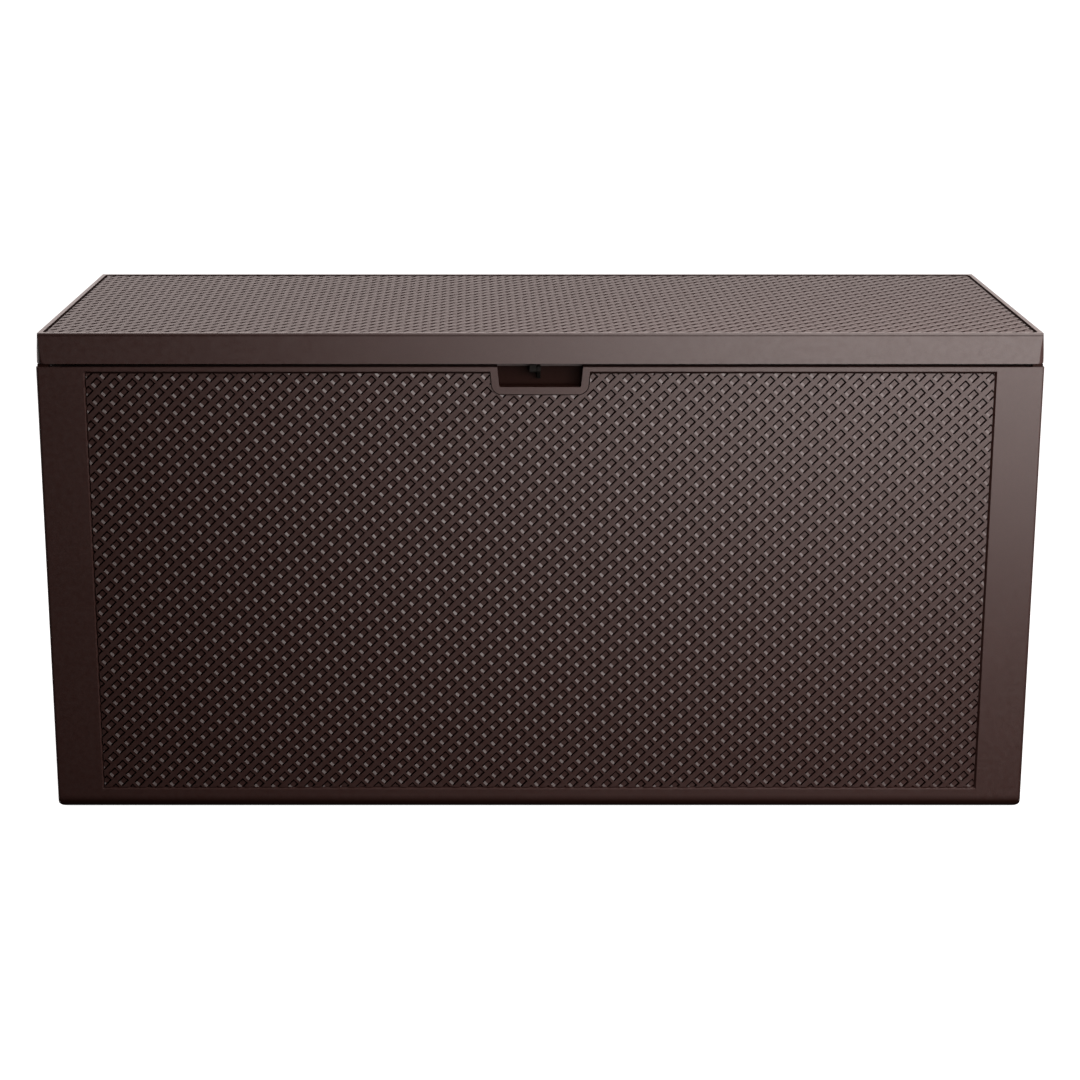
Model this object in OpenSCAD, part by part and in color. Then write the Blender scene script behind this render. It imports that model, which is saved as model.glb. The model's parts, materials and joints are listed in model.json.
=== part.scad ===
// Deck storage box: a moulded-resin chest of five panels under a hinged lid with two gas stays.
// Origin at the centre of the footprint on the ground, +Z up, front towards -Y.

/* [Overall] */
// Width of the box over the lid
width = 1170; // [1080:10:1260]
// Depth of the box over the lid
depth = 450; // [430:5:480]
// Height of the closed box
height = 585; // [545:5:640]

/* [Walls] */
// Thickness of every moulded skin
skin = 3; // [2.6:0.1:3.2]
// How far the woven fields lie below their frames
recess = 4; // [3:0.5:4.5]
// Width of the sloping edge round each woven field
chamfer = 2; // [0.8:0.2:4]
// Depth of the flanges and corner posts
flange = 24; // [23:0.5:27]
// Width of the plain stiles at the corners
stile = 57; // [52:1:64]
// Height of the plain rail above each field
top_rail = 7; // [6:0.5:10]
// Height of the plain rail below each field
bottom_rail = 26.5; // [24:0.5:32]
// Rounding of the bottom edge
foot_round = 12; // [8:1:12]
// Rounding of the upright edges
edge_round = 4; // [2:0.5:6]

/* [Lid] */
// Height of the lid's skirt
lid_h = 35.5; // [34:0.5:42]
// Open joint between the lid and the walls
lid_gap = 4; // [3.5:0.5:5]
// How far the skirt leans in by the time it reaches the top
lid_draft = 3; // [1:0.5:3.5]
// Plain rim round the lid's woven field
lid_rim = 5; // [4:0.5:8]
// Rounding of the lid's corners in plan
lid_corner = 11; // [6:1:14]
// Height of the rain lip inside the skirt
lip_h = 12.5; // [10:0.5:13]
// Distance from the wall face to the rain lip
lip_inset = 18; // [18:0.5:19]
// How far the lid opens
lid_travel = 85; // [70:1:88]

/* [Grip notch] */
// Width of the notch at the rim
notch_w = 100; // [90:2:120]
// Height of the notch
notch_h = 23.5; // [22:0.5:28]
// Width of the plain ring round the notch
notch_ring = 8.5; // [6:0.5:10]

/* [Side grips] */
// Width of each side grip
grip_w = 110; // [95:1:115]
// Height of each side grip's mouth
grip_h = 28; // [24:1:32]
// Height of the side grips above the ground
grip_z = 453; // [425:1:475]

/* [Hinges] */
// Distance between neighbouring hinges
hinge_pitch = 400; // [320:10:420]
// Length of a hinge
hinge_len = 80; // [70:5:100]
// Radius of a hinge pin
pin_r = 3; // [2.5:0.1:3.2]

/* [Gas stays] */
// Distance of both stay pivots from the hinge line
stay_arm = 230; // [222:1:238]
// Angle between the two stay pivots, seen from the hinge line, with the lid shut
stay_angle = 70; // [68:1:72]
// Radius of the stay's tube
tube_r = 9; // [8.5:0.1:9]
// Radius of the stay's rod
rod_r = 4; // [3.5:0.1:4]

/* [Hidden] */

$fn = 48;
resin = "#3d2c29";
resin_dark = "#241a18";
nylon = "#141110";
steel = "#b4b4b6";
painted = "#1b1b1c";

over = 1;            // how far a cutting shape runs past the face it cuts
blend = 0.5;         // how far a rib or boss runs into the skin that carries it
half_w = width / 2;
front_y = -depth / 2;
lid_back_y = depth / 2;
knuckle_r = pin_r + 2.6;
hinge_y = lid_back_y - 6;
back_y = lid_back_y - 12;
lid_z = height - lid_h;
rim_z = lid_z - lid_gap;
hinge_z = rim_z - skin;
wall = recess + skin;
field_half = half_w - stile;
side_front = front_y + flange;
side_back = back_y - flange;
side_mid = (front_y + back_y) / 2;
rib = 2.5;
rib_foot = 22;
rib_pitch = 150;
grip_ring = 9;
stop_w = 12;
stop_inset = 2;
stop_gap = 0.4;

floor_top = 19;
floor_z = floor_top - skin;
floor_fit = 0.4;
floor_rib_pitch = [112, 90];
side_floor_screws = [side_mid - 100, side_mid + 100];

lid_top = height - 3;
lid_ceiling = lid_top - 3.5;
seat_z = rim_z + lip_h + 0.3;
seat_w = 4;
lid_rib_pitch = [125, 100];

screw_r = 1.95;
screw_hole = 2;
screw_pass = 2.2;
screw_head_h = 2.4;
small_screw_r = 1.45;
hinge_screw_len = 12;
pin_fit = 0.05;      // radial clearance of a pin in its bore
corner_screw_x = half_w - 14;
corner_screw_z = [60, 270, 480];

hinge_at = [hinge_y, hinge_z];
knuckle = hinge_len / 5;
end_play = 0.3;

eye_hole_r = 3.5;
eye_y = front_y + 11;
eye_z = rim_z - 2.5;
eye_tip = 1.5;       // chamfer at the lower end of an eye
eye_foot_end = 4;    // length of an eye's foot beyond its screw
lid_eye_x = [-12.3, -4.3];
box_eye_x = [-3.5, 0.5];

stay_x = half_w - 39;
eye_w = 9.4;
eye_r = 8;
neck_gap = eye_r - 0.7;
neck_r = 6;
collar_r = rod_r + 2;
pin_head = 3;
pin_play = 0.3;
rod_socket = 12;
wall_pivot = [hinge_y - stay_arm * cos(stay_angle), hinge_z - stay_arm * sin(stay_angle)];
lid_pivot = [hinge_y - stay_arm, hinge_z];
stay_shut = 2 * stay_arm * sin(stay_angle / 2);
stay_open = 2 * stay_arm * sin((stay_angle + lid_travel) / 2);
stay_stroke = stay_open - stay_shut;
tube_start = 30;
tube_stop = stay_shut - 20;
tube_bore = tube_r - 1.3;
tube_end_wall = 3;
rod_stop = tube_stop - tube_end_wall - 2.8;
gland_len = 12;
piston_len = rod_stop - stay_stroke - tube_start - gland_len - 0.8;
sliding = 0.08;
bracket_t = 2.5;
bracket_half = 22;
bracket_w = 30;
lid_bracket_half = 25;
lid_tab_r = 10;
wall_plate_x = half_w - flange;
lid_tab_x = stay_x + 7;

// Shapes used by several sub-parts

// A box from its lowest to its highest corner
module block(low, high) {
    translate(low) cube(high - low);
}

// A rectangle with round corners, centred on the origin
module rounded_plate(w, d, r) {
    square([w - 2 * r, d], center = true);
    square([w, d - 2 * r], center = true);
    for (sx = [-1, 1], sy = [-1, 1])
        translate([sx * (w / 2 - r), sy * (d / 2 - r)]) circle(r);
}

// A cylinder along X between two X positions, at a point of the YZ plane
module rod_x(x0, x1, at, r) {
    translate([x0, at[0], at[1]]) rotate([0, 90, 0]) cylinder(h = x1 - x0, r = r);
}

// A pan-head screw with its head's underside at the origin, pointing along -Z
module screw(length, r = screw_r) {
    translate([0, 0, -length]) cylinder(h = length, r = r);
    difference() {
        cylinder(h = screw_head_h, r = 2 * r + 0.1);
        for (turn = [0, 90])
            rotate(turn) block([-2.2, -0.4, screw_head_h - 1], [2.2, 0.4, screw_head_h + over]);
    }
}

// Copies its children on the right, or mirrors them to the left
module on_side(side) {
    mirror([side < 0 ? 1 : 0, 0, 0]) children();
}

// Wall panels, drawn with their outer face on the XZ plane and their depth along +Y

// The sloping-edged hollow over a woven field, from x0 to x1 along its bottom
module field_hollow(x0, x1) {
    z0 = bottom_rail;
    z1 = rim_z - top_rail;
    slope = chamfer / recess;
    far = recess * slope + over * slope;
    intersection() {
        translate([0, 0, -over]) linear_extrude(rim_z + 2 * over) polygon([
            [x0 - far, -over], [x1 + far, -over], [x1, recess], [x0, recess]
        ]);
        translate([x0 - 2 * far, 0, 0]) rotate([90, 0, 90]) linear_extrude(x1 - x0 + 4 * far) polygon([
            [-over, z0 - far], [recess, z0], [recess, z1], [-over, z1 + far]
        ]);
    }
}

// The waste that leaves a bottom edge round
module foot_waste(x0, x1) {
    translate([x0 - over, 0, 0]) rotate([90, 0, 90]) linear_extrude(x1 - x0 + 2 * over) difference() {
        translate([-over, -over]) square(foot_round + over);
        translate([foot_round, foot_round]) circle(foot_round);
    }
}

// The waste that leaves an upright edge round, for a corner at the origin that opens towards +X +Y
module edge_waste() {
    translate([0, 0, -over]) linear_extrude(height) difference() {
        translate([-over, -over]) square(edge_round + over);
        translate([edge_round, edge_round]) circle(edge_round);
    }
}

// Frame, field wall, top and bottom flanges and rain lip of one wall
module wall_shell(x0, x1, field0, field1, lip0, lip1) {
    difference() {
        block([x0, 0, 0], [x1, wall, rim_z]);
        field_hollow(field0, field1);
    }
    block([x0, 0, 0], [x1, flange, skin]);
    block([x0, 0, rim_z - skin], [x1, flange, rim_z]);
    block([lip0, lip_inset, rim_z - skin], [lip1, lip_inset + skin, rim_z + lip_h]);
}

// Upright stiffening rib behind a field
module wall_rib(x) {
    block([x - rib / 2, wall - blend, rib_foot], [x + rib / 2, flange, rim_z - skin / 2]);
}

// A patch of the field filled out flush with the frame, to carry a fitting
module flush_pad(x, z0, z1, w, r) {
    translate([x, wall - blend, (z0 + z1) / 2]) rotate([90, 0, 0])
        linear_extrude(wall - blend) rounded_plate(w, z1 - z0, r);
}

// Front or back wall with its corner posts, which are hollow, open underneath and end in low stops
module long_wall() {
    post_wall = 6;
    post_foot = 8;
    difference() {
        union() {
            wall_shell(-half_w, half_w, -field_half, field_half, lip_inset - half_w, half_w - lip_inset);
            for (side = [-1, 1]) on_side(side) {
                block([field_half, 0, 0], [half_w, flange, rim_z]);
                block([half_w - lip_inset - skin, lip_inset, rim_z - skin],
                      [half_w - lip_inset, flange, rim_z + lip_h]);
                block([half_w - stop_inset - stop_w, stop_inset, rim_z - blend],
                      [half_w - stop_inset, stop_inset + stop_w, lid_z - stop_gap]);
            }
            for (i = [0:2], side = [-1, 1]) on_side(side) wall_rib(rib_pitch * (i + 0.5));
        }
        field_hollow(-field_half, field_half);
        for (side = [-1, 1]) on_side(side) {
            block([field_half + post_wall, skin, post_foot], [half_w - skin, flange - skin, rim_z - skin]);
            block([field_half + post_wall, foot_round, -over],
                  [half_w - foot_round, flange - skin, post_foot + over]);
            translate([half_w, 0, 0]) mirror([1, 0, 0]) edge_waste();
            translate([half_w, 0, 0]) rotate(90) foot_waste(0, flange);
        }
        foot_waste(-half_w, half_w);
        for (side = [-1, 1], z = corner_screw_z) on_side(side)
            translate([corner_screw_x, flange - skin - over, z]) rotate([-90, 0, 0])
                cylinder(h = skin + 2 * over, r = screw_hole);
        for (x = floor_screw_x())
            translate([x, floor_screw_inset(), -over]) cylinder(h = skin + 2 * over, r = screw_hole);
    }
}

// Outline of the grip notch, w wide at the rim and narrowing downwards
module notch_outline(w, h, r) {
    lean = 2.2;
    foot = w / 2 - lean - r;
    polygon([[-w / 2, over], [w / 2, over], [w / 2 - lean, r - h], [lean - w / 2, r - h]]);
    for (side = [-1, 1]) translate([side * foot, r - h]) circle(r);
    translate([-foot, -h]) square([2 * foot, r]);
}

// That outline as a solid between two depths from the wall's face
module notch_block(w, h, r, y0, y1) {
    translate([0, y1, rim_z]) rotate([90, 0, 0]) linear_extrude(y1 - y0) notch_outline(w, h, r);
}

module front_panel() {
    color(resin) translate([0, front_y, 0]) difference() {
        union() {
            long_wall();
            intersection() {
                union() {
                    notch_block(notch_w + 2 * notch_ring, notch_h + notch_ring, 12, 0, wall);
                    notch_block(notch_w + 2 * skin, notch_h + skin, 4, 0, flange);
                }
                block([-half_w, 0, 0], [half_w, flange, rim_z]);
            }
        }
        notch_block(notch_w, notch_h, 2.5, -over, lip_inset);
        intersection() {
            notch_block(notch_w, notch_h, 2.5, lip_inset - over, flange - skin);
            block([-half_w, 0, 0], [half_w, flange, rim_z - skin]);
        }
        block([box_eye_x[0] - 0.1, flange - skin - over, rim_z - 16.6],
              [box_eye_x[1] + 0.1, flange + over, rim_z - 8.4]);
    }
}

module back_panel() {
    color(resin) translate([0, back_y, 0]) rotate(180) difference() {
        union() {
            long_wall();
            for (i = [-1:1]) flush_pad(i * hinge_pitch, rim_z - 60, rim_z, hinge_len + 12, 4);
        }
        for (i = [-1:1], sx = [-1, 1], z = hinge_screw_z())
            translate([i * hinge_pitch + sx * hinge_screw_x(), -over, z])
                rotate([-90, 0, 0]) cylinder(h = hinge_screw_len, r = screw_hole);
    }
}

// Mouth and finger space of a side grip
module grip_space(grow) {
    hook = 11;
    mouth_top = grip_z + grip_h + grow;
    translate([side_mid, flange - 2 * skin + grow, grip_z + grip_h / 2]) rotate([90, 0, 0])
        linear_extrude(flange - 2 * skin + grow + (grow > 0 ? -skin : over))
            rounded_plate(grip_w + 2 * grow, grip_h + 2 * grow, 6 + grow);
    translate([side_mid - grip_w / 2 - grow, wall - grow, mouth_top - 8])
        cube([grip_w + 2 * grow, flange - 2 * skin - wall + 2 * grow, hook + 8]);
}

// Right end wall, drawn like the long walls and then turned to face +X
module side_panel() {
    boss = bracket_half + 2;
    color(resin) translate([half_w, 0, 0]) rotate(90) difference() {
        union() {
            wall_shell(side_front, side_back, front_y + stile, back_y - stile, side_front, side_back);
            for (y = [side_front, side_back - skin])
                block([y, 0, 0], [y + skin, flange, rim_z]);
            for (side = [-1, 1]) wall_rib(side_mid + side * rib_pitch / 2);
            flush_pad(side_mid, grip_z - grip_ring, grip_z + grip_h + grip_ring,
                      grip_w + 2 * grip_ring, 12);
            grip_space(skin);
            block([wall_pivot[0] - boss, wall - blend, wall_pivot[1] - boss],
                  [wall_pivot[0] + boss, flange, wall_pivot[1] + boss]);
        }
        grip_space(0);
        foot_waste(side_front, side_back);
        for (z = corner_screw_z) translate([side_front - over, half_w - corner_screw_x, z])
            rotate([0, 90, 0]) cylinder(h = side_back - side_front + 2 * over, r = screw_pass);
        for (z = stay_wall_screw_z())
            translate([wall_pivot[0], flange - 14, z])
                rotate([-90, 0, 0]) cylinder(h = 14 + over, r = screw_hole);
        for (y = side_floor_screws)
            translate([y, floor_screw_inset(), -over]) cylinder(h = skin + 2 * over, r = screw_hole);
    }
}

module left_side_panel() { on_side(-1) side_panel(); }
module right_side_panel() { on_side(1) side_panel(); }

// Floor

function floor_screw_inset() = (wall + flange) / 2;
function floor_screw_x() = [-rib_pitch * 2, 0, rib_pitch * 2];

// Places its children at every floor screw, on top of the floor
module at_floor_screws() {
    for (x = floor_screw_x(), y = [front_y + floor_screw_inset(), back_y - floor_screw_inset()])
        translate([x, y, floor_top]) children();
    for (side = [-1, 1], y = side_floor_screws)
        translate([side * (half_w - floor_screw_inset()), y, floor_top]) children();
}

// Footprint of the floor, which passes the corner posts
module floor_outline(inset) {
    long_x = half_w - wall - floor_fit - inset;
    short_x = field_half - floor_fit - inset;
    translate([-long_x, side_front + skin + floor_fit + inset])
        square([2 * long_x, side_back - side_front - 2 * (skin + floor_fit + inset)]);
    translate([-short_x, front_y + wall + floor_fit + inset])
        square([2 * short_x, back_y - front_y - 2 * (wall + floor_fit + inset)]);
}

module floor_panel() {
    rib_x = half_w - flange - floor_fit;
    rib_y = (side_back - side_front) / 2 - floor_fit;
    color(resin_dark) difference() {
        union() {
            translate([0, 0, floor_z]) linear_extrude(skin) floor_outline(0);
            translate([0, 0, skin]) linear_extrude(floor_z - skin + blend) difference() {
                floor_outline(0);
                floor_outline(skin);
            }
            for (i = [-4:4]) {
                x = i * floor_rib_pitch[0];
                block([x - rib / 2, side_mid - rib_y, 0], [x + rib / 2, side_mid + rib_y, floor_z + blend]);
            }
            for (i = [-2:2]) {
                y = side_mid + i * floor_rib_pitch[1];
                block([-rib_x, y - rib, 0], [rib_x, y + rib, floor_z + blend]);
            }
            at_floor_screws() translate([0, 0, skin - floor_top])
                cylinder(h = floor_z - skin + blend, r = 5);
        }
        at_floor_screws() translate([0, 0, -floor_top]) cylinder(h = floor_top + over, r = screw_pass);
    }
}

module floor_screws() {
    color(steel) at_floor_screws() screw(floor_top - 0.6);
}

module corner_screws() {
    color(steel) for (side = [-1, 1], z = corner_screw_z) on_side(side) {
        translate([corner_screw_x, side_front + skin, z]) rotate([-90, 0, 0]) screw(14);
        translate([corner_screw_x, side_back - skin, z]) rotate([90, 0, 0]) screw(14);
    }
}

// Lid

// How far the skirt's outer face leans in at height z
function lean(z) = lid_draft * (z - lid_z) / lid_h;

// A solid with the lid's leaning sides, inset all round, between two heights
module lid_form(inset, z0, z1) {
    intersection() {
        translate([0, 0, z0]) linear_extrude(z1 - z0)
            rounded_plate(width - 2 * inset, depth - 2 * inset, lid_corner - inset);
        rotate([90, 0, 0]) linear_extrude(depth, center = true)
            lean_profile(half_w - inset, z0, z1);
        rotate([90, 0, 90]) linear_extrude(width, center = true)
            lean_profile(depth / 2 - inset, z0, z1);
    }
}

module lean_profile(half, z0, z1) {
    polygon([
        [lean(z0) - half, z0], [half - lean(z0), z0], [half - lean(z1), z1], [lean(z1) - half, z1]
    ]);
}

// Ribs under the lid: a ring that sits on the rain lip, and a grid inside it
module lid_ribs() {
    x = half_w - lip_inset + blend;
    y0 = front_y + lip_inset - blend;
    y1 = back_y - lip_inset + blend;
    rise = lid_ceiling - seat_z + blend;
    translate([0, 0, seat_z]) linear_extrude(rise) difference() {
        translate([-x, y0]) square([2 * x, y1 - y0]);
        translate([seat_w - x, y0 + seat_w]) square([2 * (x - seat_w), y1 - y0 - 2 * seat_w]);
    }
    for (i = [-4:4]) {
        rib_x = i * lid_rib_pitch[0];
        block([rib_x - rib / 2, y0 + 1, seat_z], [rib_x + rib / 2, y1 - 1, seat_z + rise]);
    }
    for (i = [-1:1]) {
        rib_y = side_mid + i * lid_rib_pitch[1];
        block([1 - x, rib_y - rib / 2, seat_z], [x - 1, rib_y + rib / 2, seat_z + rise]);
    }
}

module lid_shell() {
    rim_x = half_w - lid_draft - lid_rim;
    rim_y = depth / 2 - lid_draft - lid_rim;
    color(resin) difference() {
        union() {
            difference() {
                lid_form(0, lid_z, height);
                translate([0, 0, lid_top]) linear_extrude(lid_h)
                    rounded_plate(2 * rim_x, 2 * rim_y, lid_corner - lid_rim);
                lid_form(skin, lid_z - over, lid_ceiling);
            }
            lid_ribs();
            for (i = [-1:1])
                block([i * hinge_pitch - hinge_len / 2 - 2, hinge_y + 0.5, lid_z + 2],
                      [i * hinge_pitch + hinge_len / 2 + 2, hinge_y + 2.4, lid_ceiling + blend]);
            for (side = [-1, 1]) on_side(side)
                block([lid_bracket_x0(), lid_pivot[0] - lid_bracket_half, seat_z],
                      [half_w - lip_inset - 1, lid_pivot[0] + lid_bracket_half, lid_ceiling + blend]);
        }
        for (i = [-1:1], sx = [-1, 1])
            translate([i * hinge_pitch + sx * hinge_screw_x(), hinge_y, hinge_lid_screw_z()])
                rotate([-90, 0, 0]) cylinder(h = 4, r = screw_hole);
        at_lid_bracket_screws() cylinder(h = 14, r = screw_hole);
        for (x = eye_screw_x()) translate([x, eye_y + 1, lid_ceiling - over])
            cylinder(h = 3, r = small_screw_r + 0.05);
    }
}

// Padlock eyes in the grip notch

function eye_screw_x() = [lid_eye_x[0] - 6, lid_eye_x[1] + 6];

module padlock_eye_lid() {
    y0 = front_y + 4.5;
    y1 = front_y + 17;
    foot_y = front_y + 6.5;
    bottom = eye_z - 4.8;
    color(nylon) difference() {
        union() {
            translate([lid_eye_x[0], 0, 0]) rotate([90, 0, 90]) linear_extrude(lid_eye_x[1] - lid_eye_x[0])
                polygon([
                    [y0, bottom + eye_tip], [y0 + eye_tip, bottom],
                    [y1 - eye_tip, bottom], [y1, bottom + eye_tip],
                    [y1, lid_ceiling], [foot_y, lid_ceiling], [foot_y, lid_z + 6], [y0, lid_z + 2]
                ]);
            block([eye_screw_x()[0] - eye_foot_end, foot_y, lid_ceiling - skin],
                  [eye_screw_x()[1] + eye_foot_end, y1, lid_ceiling]);
        }
        rod_x(lid_eye_x[0] - over, lid_eye_x[1] + over, [eye_y, eye_z], eye_hole_r);
        for (x = eye_screw_x()) translate([x, eye_y + 1, lid_ceiling - 2 * skin])
            cylinder(h = 3 * skin, r = small_screw_r + 0.1);
    }
}

module padlock_eye_screws() {
    color(steel) for (x = eye_screw_x())
        translate([x, eye_y + 1, lid_ceiling - skin]) rotate([180, 0, 0]) screw(skin + 1.8, small_screw_r);
}

module padlock_eye_box() {
    y0 = front_y + 6;
    lip_y = front_y + lip_inset;
    back = front_y + flange - skin;
    bottom = eye_z - 5.3;
    tenon_z = [rim_z - 16.5, rim_z - 8.5];
    color(nylon) difference() {
        union() {
            translate([box_eye_x[0], 0, 0]) rotate([90, 0, 90]) linear_extrude(box_eye_x[1] - box_eye_x[0])
                polygon([
                    [y0, eye_z + 1.5], [y0 + 1.5, eye_z + 2.4], [lip_y, rim_z - 0.1], [lip_y, rim_z - skin],
                    [back, rim_z - skin], [back, tenon_z[0]], [lip_y, tenon_z[0]], [y0 + 2, bottom],
                    [y0, bottom + 2]
                ]);
            block([box_eye_x[0], back - over, tenon_z[0]], [box_eye_x[1], back + skin, tenon_z[1]]);
        }
        rod_x(box_eye_x[0] - over, box_eye_x[1] + over, [eye_y, eye_z], eye_hole_r);
    }
}

// Hinges

function hinge_screw_x() = hinge_len / 2 - 12;
function hinge_screw_z() = [rim_z - 44, rim_z - 20];
function hinge_lid_screw_z() = lid_z + 14;

// Knuckle barrels of one leaf; its first barrel is number first, and every other one is its own
module knuckles(first, trim) {
    for (i = [first:2:4]) {
        x = i * knuckle - hinge_len / 2;
        rod_x(x + trim, x + knuckle - trim, hinge_at, knuckle_r);
    }
}

module hinge_wall_leaf() {
    plate_top = hinge_z - knuckle_r - 0.6;
    color(nylon) difference() {
        union() {
            block([-hinge_len / 2, back_y, rim_z - 54], [hinge_len / 2, back_y + skin, plate_top]);
            for (i = [0:2:4]) {
                x = i * knuckle - hinge_len / 2 + end_play;
                block([x, back_y, plate_top - over], [x + knuckle - 2 * end_play, back_y + skin, hinge_z]);
            }
            knuckles(0, end_play);
        }
        rod_x(-hinge_len, hinge_len, hinge_at, pin_r + pin_fit);
        for (sx = [-1, 1], z = hinge_screw_z())
            translate([sx * hinge_screw_x(), back_y - over, z]) rotate([-90, 0, 0])
                cylinder(h = skin + 2 * over, r = screw_pass);
    }
}

module hinge_lid_leaf() {
    plate_y = [hinge_y - 2.5, hinge_y + 0.5];
    plate_z = [hinge_z + knuckle_r + 0.9, lid_ceiling - 4];
    color(nylon) difference() {
        union() {
            block([-hinge_len / 2, plate_y[0], plate_z[0]], [hinge_len / 2, plate_y[1], plate_z[1]]);
            for (i = [1:2:3]) {
                x = i * knuckle - hinge_len / 2 + end_play;
                block([x, plate_y[0], hinge_z],
                      [x + knuckle - 2 * end_play, plate_y[1], plate_z[0] + over]);
            }
            knuckles(1, end_play);
        }
        rod_x(-hinge_len, hinge_len, hinge_at, pin_r + pin_fit);
        for (sx = [-1, 1]) translate([sx * hinge_screw_x(), plate_y[0] - over, hinge_lid_screw_z()])
            rotate([-90, 0, 0]) cylinder(h = skin + 2 * over, r = screw_pass);
    }
}

module hinge_pin() {
    reach = hinge_len / 2;
    color(steel) {
        rod_x(-reach, reach, hinge_at, pin_r);
        for (side = [-1, 1]) on_side(side) rod_x(reach, reach + 1.5, hinge_at, pin_r + 1.2);
    }
}

module hinge_wall_screws() {
    color(steel) for (i = [-1:1], sx = [-1, 1], z = hinge_screw_z())
        translate([i * hinge_pitch + sx * hinge_screw_x(), back_y + skin, z])
            rotate([-90, 0, 0]) screw(hinge_screw_len);
}

module hinge_lid_screws() {
    color(steel) for (i = [-1:1], sx = [-1, 1])
        translate([i * hinge_pitch + sx * hinge_screw_x(), hinge_y - 2.5, hinge_lid_screw_z()])
            rotate([90, 0, 0]) screw(4.6);
}

// Gas stays. Both pivots are equally far from the hinge line, so the stay turns by exactly half of the
// lid's angle and its rod and tube stay in line. These are drawn for the right side.

// Moves its children, drawn from the wall pivot along +Z, into the shut stay
module along_stay() {
    translate([stay_x, wall_pivot[0], wall_pivot[1]]) rotate([stay_angle / 2, 0, 0]) children();
}

// Moulded eye whose neck runs between two distances from the wall pivot, clear of the pin's collars
module stay_eye(pivot, neck0, neck1, r) {
    difference() {
        union() {
            rod_x(-eye_w / 2, eye_w / 2, [0, pivot], eye_r);
            translate([0, 0, neck0]) cylinder(h = neck1 - neck0, r = r);
        }
        rod_x(-eye_w, eye_w, [0, pivot], rod_r + pin_fit);
    }
}

module stay_rod_end() {
    color(nylon) along_stay() difference() {
        stay_eye(0, neck_gap, rod_socket + 8, neck_r);
        translate([0, 0, rod_socket]) cylinder(h = 20, r = rod_r + 0.02);
    }
}

module stay_rod() {
    color(steel) along_stay() translate([0, 0, rod_socket]) cylinder(h = rod_stop - rod_socket, r = rod_r);
}

module stay_piston() {
    color(nylon) along_stay() translate([0, 0, rod_stop - piston_len]) difference() {
        cylinder(h = piston_len, r = tube_bore - sliding);
        translate([0, 0, -over]) cylinder(h = piston_len + 2 * over, r = rod_r + 0.02);
    }
}

module stay_tube() {
    color(painted) along_stay() difference() {
        translate([0, 0, tube_start]) cylinder(h = tube_stop - tube_start, r = tube_r);
        translate([0, 0, tube_start - over])
            cylinder(h = tube_stop - tube_end_wall - tube_start + over, r = tube_bore);
    }
}

module stay_gland() {
    color(nylon) along_stay() translate([0, 0, tube_start]) difference() {
        cylinder(h = gland_len, r = tube_bore);
        translate([0, 0, -over]) cylinder(h = gland_len + 2 * over, r = rod_r + sliding);
    }
}

module stay_tube_end() {
    color(nylon) along_stay() stay_eye(stay_shut, tube_stop, stay_shut - neck_gap, neck_r);
}

function stay_wall_screw_z() = [wall_pivot[1] - 14, wall_pivot[1] + 14];
function lid_bracket_x0() = stay_x - 12;

module at_lid_bracket_screws() {
    for (side = [-1, 1], dy = [-17, 17])
        translate([side * (stay_x - 3), lid_pivot[0] + dy, seat_z]) children();
}

module stay_wall_bracket() {
    color(steel) difference() {
        translate([wall_plate_x - bracket_t, wall_pivot[0], wall_pivot[1]]) rotate([90, 0, 90])
            linear_extrude(bracket_t) rounded_plate(bracket_w, 2 * bracket_half, 6);
        rod_x(wall_plate_x - 2 * bracket_t, half_w, wall_pivot, rod_r + pin_fit);
        for (z = stay_wall_screw_z())
            rod_x(wall_plate_x - 2 * bracket_t, half_w, [wall_pivot[0], z], screw_pass);
    }
}

module stay_wall_pin() {
    inner = stay_x - eye_w / 2 - pin_play;
    color(steel) {
        rod_x(inner, wall_plate_x, wall_pivot, rod_r);
        rod_x(inner - pin_head, inner, wall_pivot, collar_r);
        rod_x(stay_x + eye_w / 2 + pin_play, wall_plate_x - bracket_t, wall_pivot, collar_r);
    }
}

module stay_wall_screws() {
    color(steel) for (side = [-1, 1], z = stay_wall_screw_z()) on_side(side)
        translate([wall_plate_x - bracket_t, wall_pivot[0], z]) rotate([0, -90, 0]) screw(15);
}

module stay_lid_bracket() {
    color(steel) difference() {
        union() {
            block([lid_bracket_x0(), lid_pivot[0] - lid_bracket_half, seat_z - bracket_t],
                  [lid_tab_x + bracket_t, lid_pivot[0] + lid_bracket_half, seat_z]);
            translate([lid_tab_x, lid_pivot[0], lid_pivot[1]]) rotate([90, 0, 90])
                linear_extrude(bracket_t) {
                    circle(lid_tab_r);
                    translate([-lid_tab_r, 0]) square([2 * lid_tab_r, seat_z - lid_pivot[1] - over]);
                }
        }
        rod_x(lid_tab_x - over, lid_tab_x + bracket_t + over, lid_pivot, rod_r + pin_fit);
        at_lid_bracket_screws() translate([0, 0, -2 * bracket_t])
            cylinder(h = 4 * bracket_t, r = screw_pass);
    }
}

module stay_lid_pin() {
    inner = stay_x - eye_w / 2 - pin_play;
    outer = lid_tab_x + bracket_t;
    color(steel) {
        rod_x(inner, outer, lid_pivot, rod_r);
        rod_x(inner - pin_head, inner, lid_pivot, collar_r);
        rod_x(stay_x + eye_w / 2 + pin_play, lid_tab_x, lid_pivot, collar_r);
        rod_x(outer, outer + pin_head / 2, lid_pivot, collar_r);
    }
}

module stay_lid_screws() {
    color(steel) at_lid_bracket_screws() translate([0, 0, -bracket_t]) rotate([180, 0, 0]) screw(14);
}

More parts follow.
